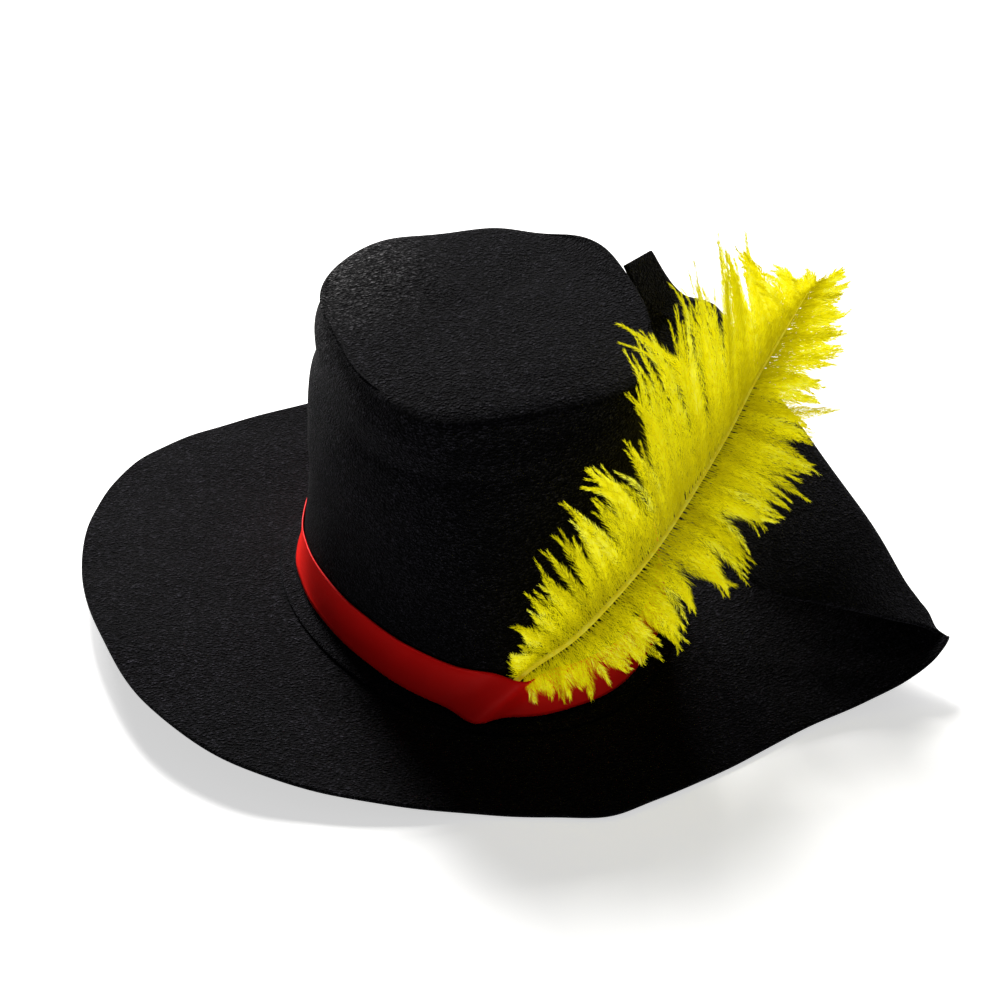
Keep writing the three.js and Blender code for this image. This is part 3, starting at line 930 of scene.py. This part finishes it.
@dataclass
class Plume:
    """Dyed ostrich plume: a curved shaft, and clumped barbs that carry fine barbules."""

    seat: Seat
    rows: tuple[ShaftRow, ...]
    face_foot: tuple[float, float, float] = (0.05, -0.9, 0.4)
    face_tip: tuple[float, float, float] = (0.3, -0.72, 0.63)
    shaft_radius: float = 1.4
    barbs: int = 216
    clump: int = 4
    gather: float = 0.75
    bare: float = 3.6
    droop_height: float = 172.0
    droop: float = 0.4
    tip_rich: float = 1.2
    tip_from: float = 0.66
    tip_full: float = 0.8
    first: float = 0.155
    last: float = 0.995
    barbule_gap: float = 0.165
    barbule_length: float = 6.6
    barbule_width: float = 0.2
    barbule_lean: float = 2.1

    def path(self, places: np.ndarray) -> np.ndarray:
        """Points of the shaft at places from 0 to 1."""
        points = np.array([row[:3] for row in self.rows], dtype=float)
        return spline(points, places * (len(self.rows) - 1))

    def vane(self, places: np.ndarray) -> tuple[np.ndarray, np.ndarray, np.ndarray]:
        """Directions along the shaft, across the vane and out of its face.

        Args:
            places: Places along the shaft, from 0 to 1.

        Returns:
            Unit vectors, one row for each place.
        """
        step = 1e-3
        ahead, behind = (np.clip(places + move, 0, 1) for move in (step, -step))
        along = unit(self.path(ahead) - self.path(behind))
        foot, tip = (unit(np.array(face)) for face in (self.face_foot, self.face_tip))
        facing = mix(foot, tip, smooth(places, 0.3, 0.6)[:, None])
        across = unit(np.cross(along, facing))
        return along, across, unit(np.cross(across, along))

    def reach(self, places: np.ndarray, side: Side) -> np.ndarray:
        """How far the vane reaches to one side, in millimetres."""
        column = [row.left if side is Side.LEFT else row.right for row in self.rows]
        return np.interp(places * (len(self.rows) - 1), np.arange(len(self.rows)), column)

    def shaft(self, feather: bpy.types.Material) -> bpy.types.Object:
        """Build the shaft, thick and rounded at the quill and fine at the tip.

        Args:
            feather: Its finish.

        Returns:
            The shaft.
        """
        places = np.linspace(0, 1, 160)
        centre = self.path(places)
        along, across, facing = self.vane(places)
        radius = self.shaft_radius * (1 - 0.72 * places) * smooth(places, -0.02, 0.012)
        turns = np.arange(12) * 2 * math.pi / 12
        rings = np.stack([
            centre + facing * (radius * math.cos(turn))[:, None]
            + across * (radius * 1.15 * math.sin(turn))[:, None]
            for turn in turns
        ], axis=1)
        tone = np.repeat(smooth(places, 0.02, 0.16)[:, None], 12, axis=1)
        faces = grid_faces(len(places), 12, False, True)
        faces.append(tuple(reversed(range(12))))
        faces.append(tuple(range((len(places) - 1) * 12, len(places) * 12)))
        piece = add_piece("plume_shaft", self.seat.place(rings), faces, feather, tone)
        return piece

    def barb_lines(self, side: Side, draw: np.random.Generator) -> list[np.ndarray]:
        """Middle lines of all the barbs of one side.

        Args:
            side: The side of the shaft.
            draw: Source of the random draws.

        Returns:
            One list of points for each barb, about a millimetre and a half apart.
        """
        places = np.linspace(self.first, self.last, self.barbs)
        places = places + draw.normal(0, 0.0008, self.barbs)
        along, across, facing = self.vane(places)
        start = self.path(places)
        reach = self.reach(places, side)
        sizes = draw.integers(self.clump - 3, self.clump + 4, self.barbs)
        clumps = np.repeat(np.arange(self.barbs), sizes)[: self.barbs]
        number = int(clumps.max()) + 1
        clump_reach = draw.uniform(0.8, 1.1, number)[clumps]
        clump_lean = draw.normal(0, 0.16, number)[clumps] * (1 - 0.5 * smooth(places, 0.7, 0.85))
        clump_lift = draw.normal(0, 4.5, number)[clumps] * (1 - 0.5 * smooth(places, 0.7, 0.85))
        middle = np.array([places[clumps == c].mean() for c in range(number)])[clumps]
        gather = (self.path(middle) - start) * self.gather
        own = draw.uniform(0.86, 1.04, self.barbs)
        sweep = np.array(SWEEPS[side])
        root, end, lift = (np.interp(places, sweep[:, 0], sweep[:, k]) for k in (1, 2, 3))
        lines = []
        for i in range(self.barbs):
            length = reach[i] * clump_reach[i] * own[i]
            count = max(5, int(length / 1.5))
            part = np.linspace(0, 1, count)[:, None]
            lean = mix(root[i], end[i], part) + (clump_lean[i] + draw.normal(0, 0.04)) * part
            curl = draw.normal(0, 1.6) + clump_lift[i]
            line = (
                start[i]
                + across[i] * side.value * length * part
                + along[i] * length * part * lean
                + facing[i] * (lift[i] * (1.4 - 0.4 * part) * part + curl * part**2)
                + gather[i] * smooth(part, 0.45, 1.0)
            )
            wave = draw.uniform(0, 2 * math.pi)
            sway = np.sin(part * 6.0 + wave) * part * 0.7
            line = line + along[i] * sway + facing[i] * np.cos(part * 5.0 + wave) * part * 0.7
            over = np.maximum(line[:, 2] - self.droop_height, 0.0)
            line[:, 2] -= over * self.droop
            lines.append(line)
        return lines

    def barbules(self, line: np.ndarray, facing: np.ndarray, shade: float, rich: float,
                 draw: np.random.Generator) -> tuple[np.ndarray, np.ndarray]:
        """The fine barbules of one barb, each a bent sliver of four points.

        Args:
            line: The barb's middle line.
            facing: The way that the vane faces there.
            shade: How clear the colour of this barb is, from 0 to 1.
            rich: How much wider its barbules are than the usual ones.
            draw: Source of the random draws.

        Returns:
            Points and tones of the slivers.
        """
        steps = np.linalg.norm(np.diff(line, axis=0), axis=1)
        travelled = np.concatenate([[0], np.cumsum(steps)])
        total = travelled[-1]
        count = max(8, int(total / self.barbule_gap))
        at = np.sort(draw.uniform(0.03, 1.0, count)) * total

        def read(where: np.ndarray) -> np.ndarray:
            """Points of the barb at distances from the shaft."""
            return np.stack([np.interp(where, travelled, line[:, k]) for k in range(3)], axis=1)

        base = read(at)
        ahead = np.minimum(at + 1.0, total)
        forward = unit(read(ahead) - read(ahead - 1.5))
        beside = unit(np.cross(forward, facing))
        hand = np.where(draw.random(count) < 0.5, 1.0, -1.0)[:, None]
        part = (at / total)[:, None]
        bare = self.bare * min(1.0, (total / 60.0) ** 2) / rich**2
        full = smooth(at[:, None], -0.3 * bare, 1.6 * bare) * (1 - 0.62 * smooth(part, 0.5, 1.0))
        length = self.barbule_length * full * draw.uniform(0.6, 1.15, (count, 1))
        spread = draw.uniform(0.45, 1.15, (count, 1)) * (1 - 0.45 * smooth(part, 0.6, 1.0))
        tilt = draw.normal(0, 0.5, (count, 1))
        way = unit(forward * self.barbule_lean + (beside * hand + facing * tilt) * spread * 1.5)
        thin = unit(np.cross(way, draw.normal(size=(count, 3))))
        width = self.barbule_width * rich * draw.uniform(0.7, 1.25, (count, 1))
        middle = base + way * length * 0.45
        end = base + unit(way + forward * 0.35 + facing * draw.normal(0, 0.15, (count, 1))) * length
        points = np.stack([base, middle + thin * width / 2, middle - thin * width / 2, end], axis=1)
        clear = shade * (0.45 + 0.55 * smooth(part[:, 0], 0.0, 0.5))
        clear = clear * draw.uniform(0.8, 1.05, count)
        return points, np.repeat(clear[:, None], 4, axis=1)

    def vane_side(self, side: Side, feather: bpy.types.Material) -> bpy.types.Object:
        """Build the barbs and barbules of one side as one joined mesh.

        Args:
            side: The side of the shaft.
            feather: Their finish.

        Returns:
            The side of the vane.
        """
        draw = np.random.default_rng(21 if side is Side.LEFT else 22)
        lines = self.barb_lines(side, draw)
        places = np.linspace(self.first, self.last, self.barbs)
        facing = self.vane(places)[2]
        chunks, tones, faces = [], [], []
        offset = 0
        for i, line in enumerate(lines):
            shade = float(np.clip(draw.normal(0.86, 0.16), 0.4, 1.1))
            rich = 1.0 + self.tip_rich * float(smooth(places[i], self.tip_from, self.tip_full))
            slivers, sliver_tones = self.barbules(line, facing[i], shade, rich, draw)
            count = len(slivers)
            first = offset + np.arange(count) * 4
            lower = np.stack([first, first + 1, first + 2], axis=1)
            upper = np.stack([first + 2, first + 1, first + 3], axis=1)
            faces += lower.tolist() + upper.tolist()
            chunks.append(slivers.reshape(-1, 3))
            tones.append(sliver_tones.ravel())
            offset += count * 4
            spine, spine_faces = self.spine(line, facing[i], offset, rich)
            faces += spine_faces
            chunks.append(spine)
            tones.append(np.linspace(0.25, 0.9, len(line)).repeat(2) * shade)
            offset += len(spine)
        points = self.seat.place(np.concatenate(chunks))
        name = f"plume_{side.name.lower()}_barbs"
        return add_piece(name, points, faces, feather, np.concatenate(tones))

    @staticmethod
    def spine(line: np.ndarray, facing: np.ndarray, offset: int,
              rich: float) -> tuple[np.ndarray, list]:
        """The barb's own thin strip, widest at the shaft.

        Args:
            line: The barb's middle line.
            facing: The way that the vane faces there.
            offset: Number of the strip's first point.
            rich: How much wider its root is than the usual one.

        Returns:
            Its points and faces.
        """
        forward = unit(np.gradient(line, axis=0))
        beside = unit(np.cross(forward, facing))
        part = np.linspace(0.0, 1.0, len(line))
        width = (mix(0.28, 0.05, part) + 0.22 * rich * (1 - smooth(part, 0.0, 0.14)))[:, None]
        points = np.stack([line - beside * width, line + beside * width], axis=1).reshape(-1, 3)
        first = offset + np.arange(len(line) - 1) * 2
        faces = np.stack([first, first + 1, first + 3, first + 2], axis=1).tolist()
        return points, faces

    def build(self, feather: bpy.types.Material, quill: bpy.types.Material) -> None:
        """Build the shaft and both sides of the vane.

        Args:
            feather: Finish of the barbs.
            quill: Finish of the shaft.
        """
        shaft = self.shaft(quill)
        sides = [self.vane_side(side, feather) for side in Side]
        for piece in (shaft, *sides):
            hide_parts("plume")


@dataclass
class Studio:
    """Pale floor, soft light from behind the hat, and the camera."""

    seat: Seat
    azimuth: float = -20.0
    elevation: float = 34.0
    distance: float = 1.3
    focal_pixels: float = 2574.0
    frame_pixels: float = 1000.0
    aim_right: float = 0.01111
    aim_up: float = 0.04495
    key_power: float = 105.0
    key_place: tuple[float, float, float] = (0.25, 2.0, 1.9)
    key_size: float = 0.7
    side_share: float = 0.3
    side_place: tuple[float, float, float] = (-0.1, 2.1, 0.8)
    side_size: float = 0.5
    fill: float = 0.06
    floor_glow: float = 0.6

    def directions(self) -> tuple[Vector, Vector, Vector]:
        """The camera's backward, rightward and upward directions."""
        a, e = math.radians(self.azimuth), math.radians(self.elevation)
        back = Vector((math.sin(a) * math.cos(e), -math.cos(a) * math.cos(e), math.sin(e)))
        right = Vector((math.cos(a), math.sin(a), 0.0))
        return back, right, back.cross(right)

    def camera(self) -> None:
        """Set the camera at the photograph's angle to the hat."""
        back, right, up = self.directions()
        data = bpy.data.cameras.new("camera")
        data.sensor_width = 36.0
        data.lens = self.focal_pixels / self.frame_pixels * data.sensor_width
        data.clip_start, data.clip_end = 0.05, 50.0
        camera = bpy.data.objects.new("camera", data)
        bpy.context.scene.collection.objects.link(camera)
        target = Vector((self.seat.x, self.seat.y, 0.0)) + right * self.aim_right + up * self.aim_up
        camera.location = target + back * self.distance
        camera.rotation_mode = "QUATERNION"
        camera.rotation_quaternion = Matrix((right, up, back)).transposed().to_quaternion()
        bpy.context.scene.camera = camera

    def lamp(self, name: str, place: tuple[float, float, float], size: float, power: float,
             color: tuple[float, float, float]) -> None:
        """Add a soft square lamp that shines at the hat.

        Args:
            name: Its name.
            place: Where it hangs, in metres.
            size: Its side, in metres.
            power: Its power, in watts.
            color: Its colour.
        """
        data = bpy.data.lights.new(name, "AREA")
        data.shape, data.size = "SQUARE", size
        data.energy, data.color = power, color
        lamp = bpy.data.objects.new(name, data)
        bpy.context.scene.collection.objects.link(lamp)
        lamp.location = place
        lamp.rotation_mode = "QUATERNION"
        lamp.rotation_quaternion = (Vector(place) - Vector((0, 0, 0.08))).to_track_quat("Z", "Y")

    def floor(self) -> None:
        """Lay a wide pale floor under the hat."""
        material = bpy.data.materials.new("pale floor")
        material.use_nodes = True
        shader = material.node_tree.nodes["Principled BSDF"]
        shader.inputs["Base Color"].default_value = (0.9, 0.9, 0.9, 1.0)
        shader.inputs["Roughness"].default_value = 0.9
        shader.inputs["Emission Color"].default_value = (1.0, 1.0, 1.0, 1.0)
        shader.inputs["Emission Strength"].default_value = self.floor_glow
        reach = 12.0
        corners = [(-reach, -reach, 0), (reach, -reach, 0), (reach, reach, 0), (-reach, reach, 0)]
        mesh = bpy.data.meshes.new("floor")
        mesh.from_pydata(corners, [], [(0, 1, 2, 3)])
        mesh.materials.append(material)
        floor = bpy.data.objects.new("floor", mesh)
        floor.location.z = -0.0003
        bpy.context.scene.collection.objects.link(floor)

    def build(self) -> None:
        """Build the camera, the floor and the light."""
        self.camera()
        self.floor()
        self.lamp("key", self.key_place, self.key_size, self.key_power, (1.0, 0.99, 0.97))
        self.lamp("side", self.side_place, self.side_size, self.key_power * self.side_share,
                  (1.0, 0.98, 0.97))
        world = bpy.data.worlds.new("studio")
        world.use_nodes = True
        sky = world.node_tree.nodes["Background"]
        sky.inputs["Color"].default_value = (0.95, 0.97, 1.0, 1.0)
        sky.inputs["Strength"].default_value = self.fill
        bpy.context.scene.world = world
        bpy.context.scene.view_settings.view_transform = "Standard"


SWEEPS = {
    Side.LEFT: (
        Sweep(0.2, root=0.1, end=0.1, lift=11), Sweep(0.48, root=0.35, end=0.15, lift=30),
        Sweep(0.64, root=0.55, end=0.5, lift=30), Sweep(0.86, root=0.8, end=0.52, lift=14),
        Sweep(1.0, root=1.0, end=0.9, lift=8),
    ),
    Side.RIGHT: (
        Sweep(0.2, root=0.1, end=-0.15, lift=8), Sweep(0.5, root=0.3, end=0.05, lift=10),
        Sweep(0.75, root=0.45, end=0.45, lift=10), Sweep(0.88, root=0.7, end=0.85, lift=7),
        Sweep(1.0, root=0.8, end=1.3, lift=4),
    ),
}

CROWN_ROWS = (
    CrownRow(2.2, 91, 116.5, 107.5, 2),
    CrownRow(5, 88.2, 113.5, 104.8, 2),
    CrownRow(14, 86, 111, 102.5, 2),
    CrownRow(28, 84, 108.5, 100.5, 2),
    CrownRow(62, 81.5, 102, 93, 2.05),
    CrownRow(96, 80, 94, 85, 2.15),
    CrownRow(120, 79.5, 88, 82, 2.3),
    CrownRow(126, 78, 86, 79.5, 2.35),
    CrownRow(132, 77.5, 84.8, 78, 2.5),
    CrownRow(142, 77, 80, 78, 2.9),
    CrownRow(151.5, 70, 77, 76, 3.2),
    CrownRow(155, 73.5, 58, 72, 3.2),
    CrownRow(155.8, 59, 44, 58, 2.9),
)

RIM_ROWS = (
    RimRow(76, 196, 4), RimRow(88, 198, 0), RimRow(100, 198.5, 0), RimRow(114, 204, 3),
    RimRow(130, 209.5, 8), RimRow(147, 203.5, 14), RimRow(165, 196, 18.5),
    RimRow(181, 191.5, 20), RimRow(197, 192, 18.4), RimRow(213, 189.5, 14),
    RimRow(227, 182, 9), RimRow(240, 176, 4.5), RimRow(251, 173.5, 1), RimRow(261, 177.5, 0),
    RimRow(269, 184, 0), RimRow(276, 182.5, 0), RimRow(290, 182.5, 0), RimRow(304, 191, 1),
    RimRow(312, 207.5, 4), RimRow(316.3, 222, 10),
)

FOLD_ROWS = (
    FoldRow(-40, fold=(170, -142, 14), edge=(178, -151, 18)),
    FoldRow(-36, fold=(181, -138, 20), edge=(188, -142, 21)),
    FoldRow(-30, fold=(186, -128, 28), edge=(179, -139, 28)),
    FoldRow(-24, fold=(181, -112, 38), edge=(155, -136, 38)),
    FoldRow(-17, fold=(175, -90, 51), edge=(126, -131, 49)),
    FoldRow(-11, fold=(169, -66, 64), edge=(97, -116, 57)),
    FoldRow(-6, fold=(162, -43, 77), edge=(92, -92, 72)),
    FoldRow(0, fold=(155, -17, 92), edge=(92, -54, 92)),
    FoldRow(8, fold=(148, 6, 106), edge=(93, -14, 114)),
    FoldRow(14, fold=(145, 21, 114), edge=(94, 16, 129)),
    FoldRow(18, fold=(144, 28, 116), edge=(87, 27, 154), root=(98, 19, 129)),
    FoldRow(22, fold=(143, 34, 117), edge=(107, 43, 150), root=(116, 31, 128)),
    FoldRow(26, fold=(142, 41, 115), edge=(118, 36, 127)),
    FoldRow(32, fold=(142, 58, 101), edge=(121, 56, 111)),
    FoldRow(40, fold=(143, 82, 76), edge=(124, 84, 85)),
    FoldRow(51, fold=(143, 110, 46), edge=(130, 113, 52)),
    FoldRow(63, fold=(128, 140, 20), edge=(128, 146, 22)),
)

SHAFT_ROWS = (
    ShaftRow(-39.5, -106.8, 6.8, left=0, right=0),
    ShaftRow(-27, -107.3, 18, left=0, right=0),
    ShaftRow(-15, -109.8, 31.5, left=12, right=12),
    ShaftRow(6, -117, 51, left=42, right=28),
    ShaftRow(28, -113, 67, left=54, right=37),
    ShaftRow(50, -104, 81, left=66, right=40),
    ShaftRow(70, -90, 91, left=76, right=44),
    ShaftRow(90, -73, 99, left=78, right=46),
    ShaftRow(109, -56, 107, left=66, right=44),
    ShaftRow(128, -38, 116, left=56, right=32),
    ShaftRow(145, -26, 128, left=46, right=24),
    ShaftRow(157, -23, 145, left=30, right=16),
    ShaftRow(163, -26, 160, left=14, right=9),
)


def main() -> None:
    """Build the hat and its studio."""
    logging.basicConfig(level=logging.INFO, format="%(message)s")
    seat = Seat.from_frame(CROWN_ROWS[0].front + 6.0)
    felt = FeltFinish(
        "black felt", ground=(0.0005, 0.0005, 0.0009), fleck=(0.055, 0.052, 0.07),
        # Painted highlight at the back of the crown's shoulder, on the wearer's right
        painted_highlight=(0.8, 0.78, 0.79), painted_highlight_place=(seat.x - 0.058, seat.y + 0.062, 0.162),
        painted_highlight_reach=0.07, fibre=1.15 * MM, relief=3.0, sheen=0.03,
    ).material()
    satin = SatinFinish(
        "red satin", deep=(1.0, 0.001, 0.001), bright=(1.0, 0.012, 0.01), thread=0.28 * MM,
    ).material()
    # Both feather finishes carry a painted glow in their own colour
    feather = FeatherFinish(
        "yellow barbs", root=(0.36, 0.29, 0.0), body=(0.86, 0.81, 0.004),
        pale=(0.92, 0.93, 0.12), roughness=0.7, painted_glow=0.32,
    ).material()
    quill = FeatherFinish(
        "yellow quill", root=(0.16, 0.07, 0.01), body=(0.8, 0.66, 0.01),
        pale=(0.86, 0.78, 0.05), roughness=0.5, painted_glow=0.25,
    ).material()
    crown = Crown(seat, CROWN_ROWS)
    crown.build(felt)
    Brim(seat, Oval(84.5, 109.5, 101, 2), FOLD_ROWS, RIM_ROWS).build(felt)
    RibbonBand(seat, crown).build(satin)
    Plume(seat, SHAFT_ROWS).build(feather, quill)
    Studio(seat).build()


if __name__ == "__main__":
    main()
